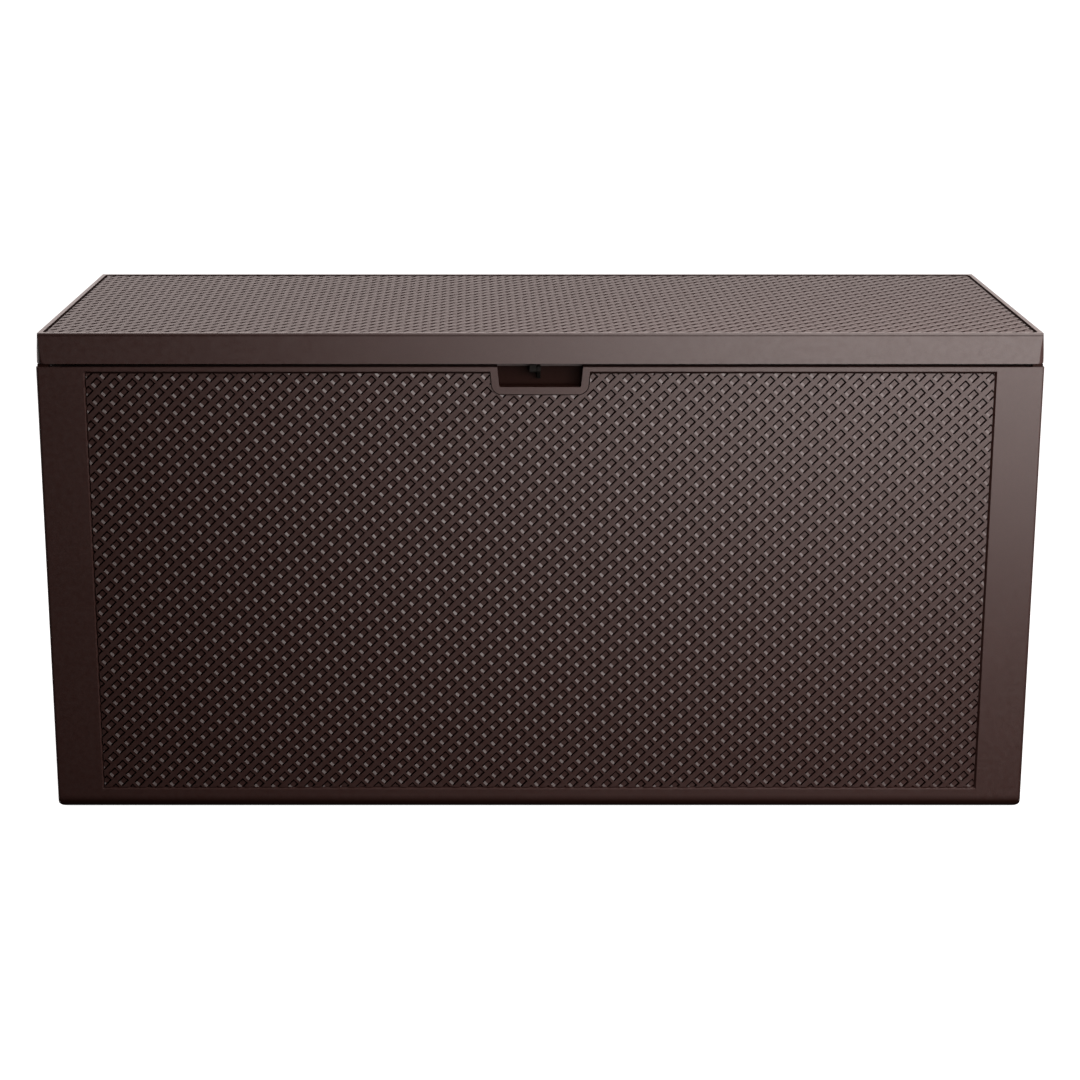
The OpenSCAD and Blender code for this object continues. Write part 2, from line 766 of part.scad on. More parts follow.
floor_panel();
front_panel();
back_panel();
left_side_panel();
right_side_panel();
corner_screws();
floor_screws();
padlock_eye_box();
lid_shell();
padlock_eye_lid();
padlock_eye_screws();
translate([-hinge_pitch, 0, 0]) hinge_wall_leaf();  // hinge_wall_leaf_left
hinge_wall_leaf();  // hinge_wall_leaf_centre
translate([hinge_pitch, 0, 0]) hinge_wall_leaf();  // hinge_wall_leaf_right
translate([-hinge_pitch, 0, 0]) hinge_lid_leaf();  // hinge_lid_leaf_left
hinge_lid_leaf();  // hinge_lid_leaf_centre
translate([hinge_pitch, 0, 0]) hinge_lid_leaf();  // hinge_lid_leaf_right
translate([-hinge_pitch, 0, 0]) hinge_pin();  // hinge_pin_left
hinge_pin();  // hinge_pin_centre
translate([hinge_pitch, 0, 0]) hinge_pin();  // hinge_pin_right
hinge_wall_screws();
hinge_lid_screws();
on_side(-1) stay_wall_bracket();  // stay_wall_bracket_left
on_side(1) stay_wall_bracket();  // stay_wall_bracket_right
on_side(-1) stay_lid_bracket();  // stay_lid_bracket_left
on_side(1) stay_lid_bracket();  // stay_lid_bracket_right
on_side(-1) stay_wall_pin();  // stay_wall_pin_left
on_side(1) stay_wall_pin();  // stay_wall_pin_right
on_side(-1) stay_lid_pin();  // stay_lid_pin_left
on_side(1) stay_lid_pin();  // stay_lid_pin_right
stay_wall_screws();
stay_lid_screws();
on_side(-1) stay_rod();  // stay_rod_left
on_side(1) stay_rod();  // stay_rod_right
on_side(-1) stay_rod_end();  // stay_rod_end_left
on_side(1) stay_rod_end();  // stay_rod_end_right
on_side(-1) stay_piston();  // stay_piston_left
on_side(1) stay_piston();  // stay_piston_right
on_side(-1) stay_tube();  // stay_tube_left
on_side(1) stay_tube();  // stay_tube_right
on_side(-1) stay_tube_end();  // stay_tube_end_left
on_side(1) stay_tube_end();  // stay_tube_end_right
on_side(-1) stay_gland();  // stay_gland_left
on_side(1) stay_gland();  // stay_gland_right
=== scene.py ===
"""Looks of the deck storage box: moulded resin, woven relief, fittings, studio light and camera."""

import json
import math

import bmesh
import bpy
import numpy as np
from mathutils import Matrix, Vector


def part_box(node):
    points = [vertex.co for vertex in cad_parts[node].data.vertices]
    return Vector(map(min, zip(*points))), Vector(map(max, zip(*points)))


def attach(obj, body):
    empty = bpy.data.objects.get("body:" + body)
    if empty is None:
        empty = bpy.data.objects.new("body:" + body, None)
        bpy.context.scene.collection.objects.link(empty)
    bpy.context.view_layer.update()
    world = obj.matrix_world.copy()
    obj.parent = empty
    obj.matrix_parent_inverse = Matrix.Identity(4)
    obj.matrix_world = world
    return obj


MM = 0.001

# A noise node's output lies nearly all between these two values
NOISE_LOW, NOISE_HIGH = 0.3, 0.7

# The gloss of a surface, and of one deep in a groove, where the lower gloss is painted shade
PLAIN_GLOSS, DEEP_GLOSS = 0.5, 0.03

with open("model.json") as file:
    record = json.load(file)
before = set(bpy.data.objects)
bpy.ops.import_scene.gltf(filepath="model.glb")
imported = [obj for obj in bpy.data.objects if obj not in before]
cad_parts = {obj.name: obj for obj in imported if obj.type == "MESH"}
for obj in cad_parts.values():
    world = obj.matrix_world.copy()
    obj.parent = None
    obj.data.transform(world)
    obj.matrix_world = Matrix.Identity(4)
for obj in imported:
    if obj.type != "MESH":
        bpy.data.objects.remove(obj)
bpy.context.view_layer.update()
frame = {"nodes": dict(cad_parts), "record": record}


# ---------------------------------------------------------------- node helpers


def map_range(tree, source, low, high, start, end):
    """Maps source from start..end to low..high, and holds it beyond them."""
    node = tree.nodes.new("ShaderNodeMapRange")
    node.inputs["From Min"].default_value = start
    node.inputs["From Max"].default_value = end
    node.inputs["To Min"].default_value = low
    node.inputs["To Max"].default_value = high
    tree.links.new(source, node.inputs["Value"])
    return node.outputs["Result"]


class Shader:
    """A Principled material, with short calls for the nodes that feed it."""

    def __init__(self, name):
        self.material = bpy.data.materials.new(name)
        self.material.use_nodes = True
        self.tree = self.material.node_tree
        self.principled = self.tree.nodes["Principled BSDF"]
        self.place = self.tree.nodes.new("ShaderNodeTexCoord").outputs["Object"]

    def set(self, **values):
        for name, value in values.items():
            self.principled.inputs[name.replace("_", " ")].default_value = value

    def noise(self, scale, detail=2.0, roughness=0.5, place=None):
        node = self.tree.nodes.new("ShaderNodeTexNoise")
        node.inputs["Scale"].default_value = scale
        node.inputs["Detail"].default_value = detail
        node.inputs["Roughness"].default_value = roughness
        self.tree.links.new(place or self.place, node.inputs["Vector"])
        return node.outputs["Fac"]

    def streaks(self, scale, stretch):
        """Noise drawn out along one axis, for brushed or drawn metal."""
        mapping = self.tree.nodes.new("ShaderNodeMapping")
        mapping.inputs["Scale"].default_value = stretch
        self.tree.links.new(self.place, mapping.inputs["Vector"])
        return self.noise(scale, 3.0, place=mapping.outputs["Vector"])

    def span(self, source, low, high, start=0.0, end=1.0):
        return map_range(self.tree, source, low, high, start, end)

    def mix(self, factor, dark, light):
        """Blends from dark to light; each is a colour or a socket."""
        node = self.tree.nodes.new("ShaderNodeMix")
        node.data_type = "RGBA"
        self.tree.links.new(factor, node.inputs["Factor"])
        for socket, value in ((node.inputs["A"], dark), (node.inputs["B"], light)):
            self.feed(socket, value)
        return node.outputs["Result"]

    def feed(self, socket, value):
        if isinstance(value, bpy.types.NodeSocket):
            self.tree.links.new(value, socket)
        else:
            socket.default_value = (*value, 1.0)

    def level(self, axis):
        """The place along the X, Y or Z axis."""
        split = self.tree.nodes.new("ShaderNodeSeparateXYZ")
        self.tree.links.new(self.place, split.inputs[0])
        return split.outputs[axis]

    def near(self, axis, middle, reach):
        """1 where the piece lies within reach of a place on the X, Y or Z axis, and 0 elsewhere."""
        return self.calculate("COMPARE", self.level(axis), middle, reach)

    def calculate(self, operation, *values):
        node = self.tree.nodes.new("ShaderNodeMath")
        node.operation = operation
        for socket, value in zip(node.inputs, values):
            if isinstance(value, bpy.types.NodeSocket):
                self.tree.links.new(value, socket)
            else:
                socket.default_value = value
        return node.outputs[0]

    def attribute(self, name):
        node = self.tree.nodes.new("ShaderNodeAttribute")
        node.attribute_name = name
        return node.outputs["Fac"]

    def colour(self, source):
        self.feed(self.principled.inputs["Base Color"], source)

    def roughness(self, low, high, scale, detail=2.0):
        """Roughness that wanders between low and high."""
        uneven = self.span(self.noise(scale, detail), low, high, NOISE_LOW, NOISE_HIGH)
        self.tree.links.new(uneven, self.principled.inputs["Roughness"])

    def paint_shade(self, tint, openness, deep):
        """Paints shade, from tint to a deep colour without gloss where openness falls to 0, as in a groove.
        """
        self.colour(self.mix(openness, deep, tint))
        gloss = self.span(openness, DEEP_GLOSS, PLAIN_GLOSS)
        self.tree.links.new(gloss, self.principled.inputs["Specular IOR Level"])

    def bump(self, height, distance, strength=1.0, under=None):
        node = self.tree.nodes.new("ShaderNodeBump")
        node.inputs["Distance"].default_value = distance
        node.inputs["Strength"].default_value = strength
        self.tree.links.new(height, node.inputs["Height"])
        if under is not None:
            self.tree.links.new(under, node.inputs["Normal"])
        self.tree.links.new(node.outputs["Normal"], self.principled.inputs["Normal"])
        return node.outputs["Normal"]


# ---------------------------------------------------------------- materials


def moulded(name, dark, light, rough):
    """Moulded resin with spark-eroded grain. Returns its shader, and its faintly mottled tint to use."""
    s = Shader(name)
    s.set(IOR=1.5)
    mottle = s.span(s.noise(14.0, 3.0), 0.0, 1.0, NOISE_LOW, NOISE_HIGH)
    tint = s.mix(mottle, dark, light)
    speck = s.span(s.noise(900.0, 1.0), 0.0, 1.0, 0.35, 0.65)
    tint = s.mix(speck, tuple(0.82 * c for c in dark), tint)
    s.roughness(rough - 0.04, rough + 0.05, 160.0, 3.0)
    wave = s.bump(s.noise(60.0, 2.0), 0.25 * MM, 0.25)
    s.bump(s.noise(1500.0, 2.0, 0.6), 0.12 * MM, 0.5, under=wave)
    return s, tint


def resin(name, dark, light, rough):
    s, tint = moulded(name, dark, light, rough)
    s.colour(tint)
    return s.material


def woven_resin(name, rough):
    """The resin of the relief, with painted shade that makes its grooves black."""
    s, tint = moulded(name, BROWN_DARK, BROWN_LIGHT, rough)
    s.paint_shade(tint, s.span(s.attribute("openness"), 0.0, 1.0, *GROOVE_FADE), GROOVE_SHADE_BLACK)
    return s.material


def panel_resin(name, axis, floor, hollow=None):
    """A panel's resin, with painted shade on its recess floor, the corner stops, its foot and a hollow."""
    s, tint = moulded(name, BROWN_DARK, BROWN_LIGHT, BROWN_ROUGH)
    # Masks for painted shade: the recess floor, the corner stops in the lid's gap, the foot and the hollow
    on_floor = s.near(axis, floor, RECESS_BAND)
    on_stops = s.near("Z", rim_z + LID_GAP / 2, LID_GAP / 2 - STOP_MARGIN)
    at_foot = s.span(s.level("Z"), FOOT_SHADE, 0.0, FOOT_DARK, FOOT_LIGHT)
    shade_mask = s.calculate("MAXIMUM", s.calculate("MAXIMUM", on_floor, on_stops), at_foot)
    if hollow:
        low, high = hollow
        inside = 1.0
        for side, a, b in zip("XYZ", low, high):
            inside = s.calculate("MULTIPLY", s.near(side, (a + b) / 2, (b - a) / 2), inside)
        shade_mask = s.calculate("MAXIMUM", shade_mask, inside)
    s.paint_shade(tint, s.calculate("SUBTRACT", 1.0, shade_mask), PAINTED_SHADE_BROWN)
    return s.material


def nylon(name, dark, light, rough, ior, gloss):
    """Moulded nylon with a fine grain. rough is its least and its greatest roughness."""
    s = Shader(name)
    s.set(IOR=ior, Specular_IOR_Level=gloss)
    s.colour(s.mix(s.noise(220.0), dark, light))
    s.roughness(*rough, 340.0)
    s.bump(s.noise(1900.0), 0.08 * MM, 0.5)
    return s.material


def black_nylon():
    dark, light = (0.008, 0.007, 0.007), (0.016, 0.014, 0.013)
    return nylon("black_nylon", dark, light, rough=(0.42, 0.58), ior=1.53, gloss=PLAIN_GLOSS)


def shaded_nylon():
    """The nylon of the padlock eyes, with painted shade: darker than the black nylon and nearly without
    gloss.
    """
    dark, light = (0.004, 0.0035, 0.003), (0.006, 0.005, 0.0045)
    return nylon("shaded_nylon", dark, light, rough=(0.60, 0.75), ior=1.5, gloss=0.05)


def zinc_steel():
    s = Shader("zinc_steel")
    s.set(Metallic=1.0)
    s.colour(s.mix(s.noise(90.0, 3.0), (0.42, 0.42, 0.43), (0.60, 0.60, 0.61)))
    s.roughness(0.28, 0.46, 420.0, 3.0)
    s.bump(s.noise(1300.0), 0.04 * MM, 0.4)
    return s.material


def chromed_rod():
    s = Shader("chromed_rod")
    s.set(Metallic=1.0)
    s.colour(s.mix(s.noise(40.0), (0.68, 0.69, 0.70), (0.78, 0.78, 0.79)))
    s.roughness(0.06, 0.14, 700.0)
    s.bump(s.streaks(260.0, (1.0, 9.0, 9.0)), 0.01 * MM, 0.3)
    return s.material


def black_paint():
    s = Shader("black_paint")
    s.set(IOR=1.5)
    s.colour(s.mix(s.noise(130.0), (0.009, 0.009, 0.010), (0.014, 0.014, 0.015)))
    s.roughness(0.24, 0.36, 260.0)
    s.bump(s.noise(650.0), 0.06 * MM, 0.4)
    return s.material


BROWN_DARK = (0.0205, 0.0062, 0.0045)
BROWN_LIGHT = (0.0235, 0.0078, 0.0060)
BROWN_ROUGH = 0.47
WORN_ROUGH = 0.60
# The colour of painted shade on the panels
PAINTED_SHADE_BROWN = (0.0085, 0.0030, 0.0022)

# Painted shade makes a groove black up to where its openness is the first of these, and brown from the
# second
GROOVE_SHADE_BLACK = (0.0030, 0.0010, 0.0007)
GROOVE_FADE = (0.7, 0.95)

MATERIALS = {
    "brown_resin": resin("brown_resin", BROWN_DARK, BROWN_LIGHT, BROWN_ROUGH),
    "dark_resin": resin("dark_resin", (0.011, 0.0075, 0.007), (0.014, 0.010, 0.009), 0.55),
    "black_nylon": black_nylon(),
    "zinc_steel": zinc_steel(),
    "chromed_rod": chromed_rod(),
    "black_paint": black_paint(),
}

# Sizes that the walls and the lid share with the CAD model
STILE = 57 * MM
BOTTOM_RAIL = 26.5 * MM
TOP_RAIL = 7 * MM
RECESS = 4 * MM
LID_RECESS = 3 * MM
LID_RIM = 8 * MM
LID_GAP = 4 * MM
NOTCH_HALF = 58.5 * MM
NOTCH_DROP = 32 * MM
NOTCH_LEAN = 2.2 * MM
NOTCH_ROUND = 12 * MM
POCKET_HALF = 50.6 * MM
POCKET_DROP = 24 * MM
LIP_INSET = 18 * MM

# The rounding of the lid's edges in the visual model
LID_EDGE = 1.2 * MM

# Where painted shade darkens the resin: within RECESS_BAND of a recess floor, on the corner stops in the
# lid's gap, behind the lips of the notch pocket, on the wall round the lid's field below LID_RIM_LIGHT, and
# at the foot, from FOOT_LIGHT down to FOOT_DARK above the ground
RECESS_BAND = 0.4 * MM
STOP_MARGIN = 0.2 * MM
POCKET_LIP = 1.5 * MM
POCKET_UPPER_LIP = 1.6 * MM
POCKET_WALL = 4 * MM
LID_RIM_LIGHT = 0.6 * MM
FOOT_DARK, FOOT_LIGHT = 9.5 * MM, 17 * MM
FOOT_SHADE = 0.88

front_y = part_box("front_panel")[0].y
back_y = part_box("back_panel")[1].y
side_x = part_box("right_side_panel")[1].x
rim_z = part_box("lid_shell")[0].z - LID_GAP
# The notch pocket behind its lips, whose walls get painted shade
notch_pocket = (
    (-POCKET_HALF, front_y + POCKET_LIP, rim_z - POCKET_DROP),
    (POCKET_HALF, front_y + LIP_INSET + POCKET_WALL, rim_z - POCKET_UPPER_LIP),
)
lid_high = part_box("lid_shell")[1]
# The hollow of the lid's field, where the wall round it gets painted shade
lid_rim_wall = LID_RIM - LID_EDGE / 2
lid_field = (
    (lid_rim_wall - lid_high.x, lid_rim_wall - lid_high.y, lid_high.z - LID_RECESS),
    (lid_high.x - lid_rim_wall, lid_high.y - lid_rim_wall, lid_high.z - LID_RIM_LIGHT),
)
# A copy of the nylon with painted shade, for the padlock eyes
SHADED_NYLON = shaded_nylon()
PIECE_MATERIALS = {
    "front_panel": panel_resin("front_resin", "Y", front_y + RECESS, notch_pocket),
    "back_panel": panel_resin("back_resin", "Y", back_y - RECESS),
    "left_side_panel": panel_resin("left_resin", "X", RECESS - side_x),
    "right_side_panel": panel_resin("right_resin", "X", side_x - RECESS),
    "lid_shell": panel_resin("lid_resin", "Z", lid_high.z - LID_RECESS, lid_field),
    "padlock_eye_box": SHADED_NYLON,
    "padlock_eye_lid": SHADED_NYLON,
}
WOVEN = woven_resin("woven_resin", BROWN_ROUGH)
WORN_WOVEN = woven_resin("worn_woven_resin", WORN_ROUGH)


# ---------------------------------------------------------------- CAD pieces


def soften(piece, width):
    """Welds and merges the flat faces of a CAD piece, then rounds its edges, without touching its mesh."""
    weld = piece.modifiers.new("weld", "WELD")
    weld.merge_threshold = 0.01 * MM
    flat = piece.modifiers.new("flat", "DECIMATE")
    flat.decimate_type = "DISSOLVE"
    flat.angle_limit = math.radians(0.6)
    edge = piece.modifiers.new("edge", "BEVEL")
    edge.width = width
    edge.segments = 2
    edge.limit_method = "ANGLE"
    edge.angle_limit = math.radians(32)
    edge.harden_normals = True
    edge.use_clamp_overlap = True
    shade = piece.modifiers.new("shade", "WEIGHTED_NORMAL")
    shade.weight = 100
    if piece.data.has_custom_normals:
        bpy.context.view_layer.objects.active = piece
        bpy.ops.mesh.customdata_custom_splitnormals_clear()
    piece.data.polygons.foreach_set("use_smooth", [True] * len(piece.data.polygons))


EDGE_WIDTHS = {"brown_resin": 1.0 * MM, "dark_resin": 0.5 * MM, "black_nylon": 0.35 * MM}
SMALL_EDGE = 0.2 * MM


def dress_cad_pieces():
    for row in frame["record"]["subparts"]:
        piece = frame["nodes"][row["node"]]
        slot = row["material_slot"]
        piece.data.materials.clear()
        piece.data.materials.append(PIECE_MATERIALS.get(row["node"], MATERIALS[slot]))
        soften(piece, LID_EDGE if row["node"] == "lid_shell" else EDGE_WIDTHS.get(slot, SMALL_EDGE))


# ---------------------------------------------------------------- woven relief

# The weave is a lattice of nearly square cells. s runs along the flat bars, t across them, and each row
# starts ROW_SHIFT further along s than the one before. Between two bars lies a row of blocks. A block starts
# as a level bridge, slopes down along its facet and goes on level. Shallow scores part the bridge from the
# bars. Deep ditches and gaps part the rest of the block from the bars and from the next block. The sinks are
# depths below the bars.
PITCH_S, PITCH_T = 14.2 * MM, 14.86 * MM
LEAN = math.radians(44.8)
ROW_SHIFT = 0.07 * MM
BAR_EDGE, BLOCK_EDGE, BLOCK_FAR = 5.95 * MM, 7.85 * MM, 13.0 * MM
BRIDGE_START, BRIDGE_END, FACET_END = 1.85 * MM, 5.1 * MM, 7.9 * MM
SCORE_SINK, BLOCK_SINK, GROOVE_SINK = 0.5 * MM, 1.15 * MM, 2.5 * MM

CELL_POINTS = {
    "bar_near": (BRIDGE_START, BAR_EDGE, 0.0),
    "bar_far": (BRIDGE_START, PITCH_T, 0.0),
    "bridge_near": (BRIDGE_START, BLOCK_EDGE, 0.0),
    "bridge_far": (BRIDGE_START, BLOCK_FAR, 0.0),
    "facet_near": (BRIDGE_END, BLOCK_EDGE, 0.0),
    "facet_far": (BRIDGE_END, BLOCK_FAR, 0.0),
    "score_bar_near": (BRIDGE_START, BAR_EDGE, SCORE_SINK),
    "score_near": (BRIDGE_START, BLOCK_EDGE, SCORE_SINK),
    "score_far": (BRIDGE_START, BLOCK_FAR, SCORE_SINK),
    "score_bar_far": (BRIDGE_START, PITCH_T, SCORE_SINK),
    "step_bar_near": (BRIDGE_END, BAR_EDGE, SCORE_SINK),
    "step_near": (BRIDGE_END, BLOCK_EDGE, SCORE_SINK),
    "step_far": (BRIDGE_END, BLOCK_FAR, SCORE_SINK),
    "step_bar_far": (BRIDGE_END, PITCH_T, SCORE_SINK),
    "block_near": (FACET_END, BLOCK_EDGE, BLOCK_SINK),
    "block_far": (FACET_END, BLOCK_FAR, BLOCK_SINK),
    "end_near": (PITCH_S, BLOCK_EDGE, BLOCK_SINK),
    "end_far": (PITCH_S, BLOCK_FAR, BLOCK_SINK),
    "ditch_bar_near": (BRIDGE_END, BAR_EDGE, GROOVE_SINK),
    "ditch_near": (BRIDGE_END, BLOCK_EDGE, GROOVE_SINK),
    "ditch_far": (BRIDGE_END, BLOCK_FAR, GROOVE_SINK),
    "ditch_bar_far": (BRIDGE_END, PITCH_T, GROOVE_SINK),
    "foot_near": (PITCH_S, BLOCK_EDGE, GROOVE_SINK),
    "foot_far": (PITCH_S, BLOCK_FAR, GROOVE_SINK),
    "gap_bar_near": (BRIDGE_START, BAR_EDGE, GROOVE_SINK),
    "gap_near": (BRIDGE_START, BLOCK_EDGE, GROOVE_SINK),
    "gap_far": (BRIDGE_START, BLOCK_FAR, GROOVE_SINK),
    "gap_bar_far": (BRIDGE_START, PITCH_T, GROOVE_SINK),
}

# One cell's faces. A leading > is a point of the next cell along s, a leading < of the one before along t.
CELL_FACES = [
    "<bar_far ><bar_far >bar_near bar_near",
    "bar_near >bar_near >score_bar_near >gap_bar_near ditch_bar_near step_bar_near score_bar_near",
    "bar_far score_bar_far step_bar_far ditch_bar_far >gap_bar_far >score_bar_far >bar_far",
    "score_bar_near score_near bridge_near bridge_far score_far score_bar_far"
    " gap_bar_far gap_far gap_near gap_bar_near",
    "score_bar_near step_bar_near step_near score_near",
    "score_far step_far step_bar_far score_bar_far",
    "bridge_near facet_near facet_far bridge_far",
    "bridge_near score_near step_near facet_near",
    "bridge_far facet_far step_far score_far",
    "step_bar_near ditch_bar_near ditch_near step_near",
    "step_far ditch_far ditch_bar_far step_bar_far",
    "facet_near block_near block_far facet_far",
    "block_near end_near end_far block_far",
    "end_near foot_near foot_far end_far",
    "facet_near step_near ditch_near foot_near end_near block_near",
    "facet_far block_far end_far foot_far ditch_far step_far",
    "ditch_bar_near >gap_bar_near >gap_near foot_near ditch_near",
    "ditch_far foot_far >gap_far >gap_bar_far ditch_bar_far",
    "foot_near >gap_near >gap_far foot_far",
]


class Face:
    """A flat field of the box: its centre, the directions right, up and out, and half its size."""

    def __init__(self, centre, right, up, half):
        self.centre = Vector(centre)
        self.right = Vector(right)
        self.up = Vector(up)
        self.out = self.right.cross(self.up)
        self.half = half

    def matrix(self):
        m = Matrix((self.right, self.up, self.out)).transposed().to_4x4()
        m.translation = self.centre
        return m


def weave_sheet(half, phase, sink_scale):
    """The open weave that covers a field of that half size, a little oversize, with its sinks scaled.

    Returns its points, its faces, and for each point 1, or 0 at the bottom of a groove.
    """
    bars = np.array([math.cos(LEAN), math.sin(LEAN)])
    across = np.array([math.sin(LEAN), -math.cos(LEAN)])
    reach = half[0] + half[1]
    count = int(reach / PITCH_S) + 3
    steps = np.arange(-count, count)
    i, j = np.meshgrid(steps, steps, indexing="ij")
    start_s = i * PITCH_S + j * ROW_SHIFT + phase[0]
    centre_s = start_s + 0.5 * PITCH_S
    centre_t = (j + 0.5) * PITCH_T + phase[1]
    centre = centre_s[..., None] * bars + centre_t[..., None] * across
    wanted = (np.abs(centre[..., 0]) < half[0] + PITCH_T) & (np.abs(centre[..., 1]) < half[1] + PITCH_T)

    names = list(CELL_POINTS)
    local = np.array([CELL_POINTS[n] for n in names])
    s = start_s[..., None] + local[:, 0]
    t = (j * PITCH_T + phase[1])[..., None] + local[:, 1]
    flat = s[..., None] * bars + t[..., None] * across
    depth = np.broadcast_to(-local[:, 2] * sink_scale, s.shape)
    points = np.concatenate([flat, depth[..., None]], axis=-1).reshape(-1, 3)
    # Points at the bottom of a groove get openness 0, where shade is painted
    openness = np.broadcast_to(local[:, 2] < GROOVE_SINK, s.shape).reshape(-1)

    side = 2 * count
    rows, columns = np.nonzero(wanted)
    faces = []
    for text in CELL_FACES:
        corners = []
        for word in text.split():
            cell = (rows + word.count(">")) * side + columns - word.count("<")
            corners.append(cell * len(names) + names.index(word.strip("<>")))
        faces.extend(np.stack(corners, axis=1).tolist())
    used = np.unique(np.concatenate(faces))
    renumber = np.full(len(points), -1)
    renumber[used] = np.arange(len(used))
    return points[used], [renumber[f].tolist() for f in faces], openness[used]


def once(items):
    """The items in their order, each only once. A set would give another order in each run."""
    return list(dict.fromkeys(items))


def cut(bm, point, normal, faces, clear=False):
    """Cuts these faces of the sheet by the plane through point; clear drops the outer side."""
    edges = once(e for f in faces for e in f.edges)
    verts = once(v for f in faces for v in f.verts)
    return bmesh.ops.bisect_plane(
        bm, geom=[*verts, *edges, *faces], dist=1e-7, plane_co=point, plane_no=normal, clear_outer=clear
    )["geom"]


def touching(faces, low, high):
    """Those faces that reach into a rectangle of the sheet."""
    found = []
    for f in faces:
        xs = [v.co.x for v in f.verts]
        ys = [v.co.y for v in f.verts]
        if min(xs) < high[0] and max(xs) > low[0] and min(ys) < high[1] and max(ys) > low[1]:
            found.append(f)
    return found


# How far round a window's outline its faces are looked for
WINDOW_REACH = 0.5 * MM


def cut_window(bm, outline):
    """Takes the inside of a convex outline, drawn counter-clockwise, out of the sheet."""
    corners = [Vector((*p, 0.0)) for p in outline]
    sides = list(zip(corners, corners[1:] + corners[:1]))
    normals = [Vector((b.y - a.y, a.x - b.x, 0.0)).normalized() for a, b in sides]
    xs, ys = [p[0] for p in outline], [p[1] for p in outline]
    low = (min(xs) - WINDOW_REACH, min(ys) - WINDOW_REACH)
    high = (max(xs) + WINDOW_REACH, max(ys) + WINDOW_REACH)
    pool = touching(bm.faces, low, high)
    for (a, b), normal in zip(sides, normals):
        low = (min(a.x, b.x) - WINDOW_REACH, min(a.y, b.y) - WINDOW_REACH)
        high = (max(a.x, b.x) + WINDOW_REACH, max(a.y, b.y) + WINDOW_REACH)
        made = cut(bm, a, normal, touching(pool, low, high))
        kept = [f for f in pool if f.is_valid]
        pool = once([*kept, *(f for f in made if isinstance(f, bmesh.types.BMFace))])
    inside = []
    for f in pool:
        middle = f.calc_center_median()
        if all((middle - a).dot(n) < 0 for (a, _), n in zip(sides, normals)):
            inside.append(f)
    bmesh.ops.delete(bm, geom=inside, context="FACES")


def close_sheet(bm, base):
    """Runs the sheet's open edge down to the base and fills it there."""
    rim = [e for e in bm.edges if e.is_boundary]
    grown = bmesh.ops.extrude_edge_only(bm, edges=rim)["geom"]
    openness = bm.verts.layers.float["openness"]
    # The new walls down to the base get openness 0, so painted shade turns them black
    for v in grown:
        if isinstance(v, bmesh.types.BMVert):
            v.co.z = base
            v[openness] = 0.0
    bottom = [e for e in bm.edges if e.is_boundary]
    bmesh.ops.triangle_fill(bm, edges=bottom, use_beauty=False)
    bmesh.ops.recalc_face_normals(bm, faces=bm.faces)


# The open seam between a relief and its frame, how far its bars lie below the frame, and how thick it is
SEAM = 0.6 * MM
WINDOW_SEAM = 1.2 * MM
LID_SEAM = 3.0 * MM
WEAVE_DROP = 1.0 * MM
WEAVE_THICK = 3.5 * MM
LID_WEAVE_THICK = 2.5 * MM
LID_SINK_SCALE = 0.78

# Where the lattice starts on each field, along s and t
FRONT_PHASE = (-2.9 * MM, 2.8 * MM)
BACK_PHASE = (3 * MM, 5 * MM)
SIDE_PHASE = (1 * MM, 2 * MM)
LID_PHASE = (0.0, 0.0)

# Openings in the back relief round each hinge leaf, and in the side reliefs round the hand grip
PAD_MARGIN = 6 * MM
PAD_HALF_HEIGHT = 40 * MM
PAD_MIDDLE_DROP = 20 * MM
PAD_ROUND = 4 * MM
GRIP_HALF = (64 * MM, 23 * MM)
GRIP_ROUND = 12 * MM
ARC_STEPS = 6


def weave(name, body, field, phase, windows=(), material=WOVEN, sink_scale=1.0, thick=WEAVE_THICK):
    """Makes a woven relief in a field, with windows left open, and hangs it on a body."""
    points, faces, openness = weave_sheet(field.half, phase, sink_scale)
    mesh = bpy.data.meshes.new(name)
    mesh.from_pydata(points.tolist(), [], faces)
    mesh.attributes.new("openness", "FLOAT", "POINT").data.foreach_set("value", openness.astype(float))
    bm = bmesh.new()
    bm.from_mesh(mesh)
    for axis, half in ((Vector((1, 0, 0)), field.half[0]), (Vector((0, 1, 0)), field.half[1])):
        for sign in (-1, 1):
            cut(bm, sign * half * axis, sign * axis, list(bm.faces), clear=True)
    for outline in windows:
        cut_window(bm, outline)
    close_sheet(bm, -thick)
    bmesh.ops.translate(bm, verts=bm.verts, vec=(0, 0, -WEAVE_DROP))
    bmesh.ops.transform(bm, matrix=field.matrix(), verts=bm.verts)
    bm.to_mesh(mesh)
    bm.free()
    mesh.materials.append(material)
    piece = bpy.data.objects.new(name, mesh)
    bpy.context.scene.collection.objects.link(piece)
    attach(piece, body)


def round_rectangle(centre, half, radius):
    """A counter-clockwise rectangle with round corners."""
    points = []
    for quarter, (sx, sy) in enumerate(((1, 1), (-1, 1), (-1, -1), (1, -1))):
        for k in range(ARC_STEPS + 1):
            angle = math.radians(90) * (quarter + k / ARC_STEPS)
            x = centre[0] + sx * (half[0] - radius) + radius * math.cos(angle)
            y = centre[1] + sy * (half[1] - radius) + radius * math.sin(angle)
            points.append((x, y))
    return points


def notch_outline(rim):
    """The ring round the grip notch, open above the field, counter-clockwise."""
    half, drop, bend = NOTCH_HALF + WINDOW_SEAM, NOTCH_DROP + WINDOW_SEAM, NOTCH_ROUND + WINDOW_SEAM
    foot = half - NOTCH_LEAN - bend
    left, right = [], []
    for k in range(ARC_STEPS + 1):
        angle = math.radians(90) * k / ARC_STEPS
        x = foot + bend * math.sin(angle)
        y = rim - drop + bend * (1 - math.cos(angle))
        right.append((x, y))
        left.append((-x, y))
    return [*reversed(left), *right, (half, rim + LID_GAP), (-half, rim + LID_GAP)]


